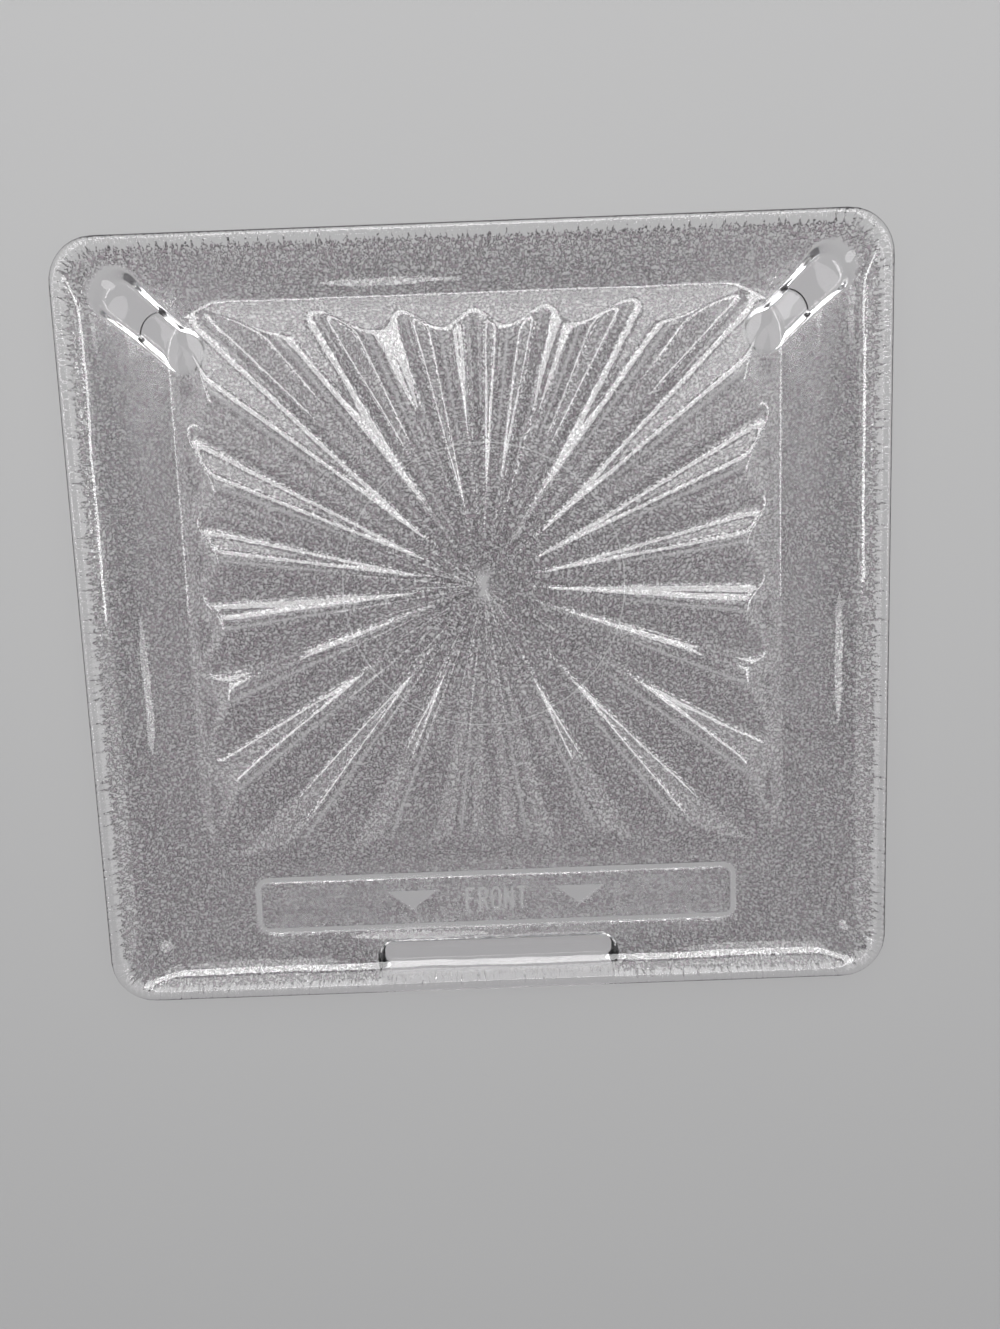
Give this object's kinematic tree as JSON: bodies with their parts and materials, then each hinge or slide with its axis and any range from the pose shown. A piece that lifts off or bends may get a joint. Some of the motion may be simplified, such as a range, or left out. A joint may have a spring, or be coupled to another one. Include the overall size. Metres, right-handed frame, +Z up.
{
  "type": "microwave oven glass tray",
  "caption": "Square shallow glass tray for the floor of a microwave oven: coved sides, rounded rim, raised panel with a fluted sunburst, front mark and feet underneath.",
  "frame": {"origin": "under the middle of the tray's outline, at the level that its feet stand on", "axes": "+X from the left side to the right side, along the longer side; +Y from the front edge to the rear edge; +Z up, out of the tray"},
  "size_m": [0.381, 0.362, 0.0201],
  "materials": {
    "clear_glass": "clear pressed glass, smooth and glossy above, finely stippled below"
  },
  "bodies": {
    "root": {"glass_tray": "clear_glass"}
  },
  "joints": []
}
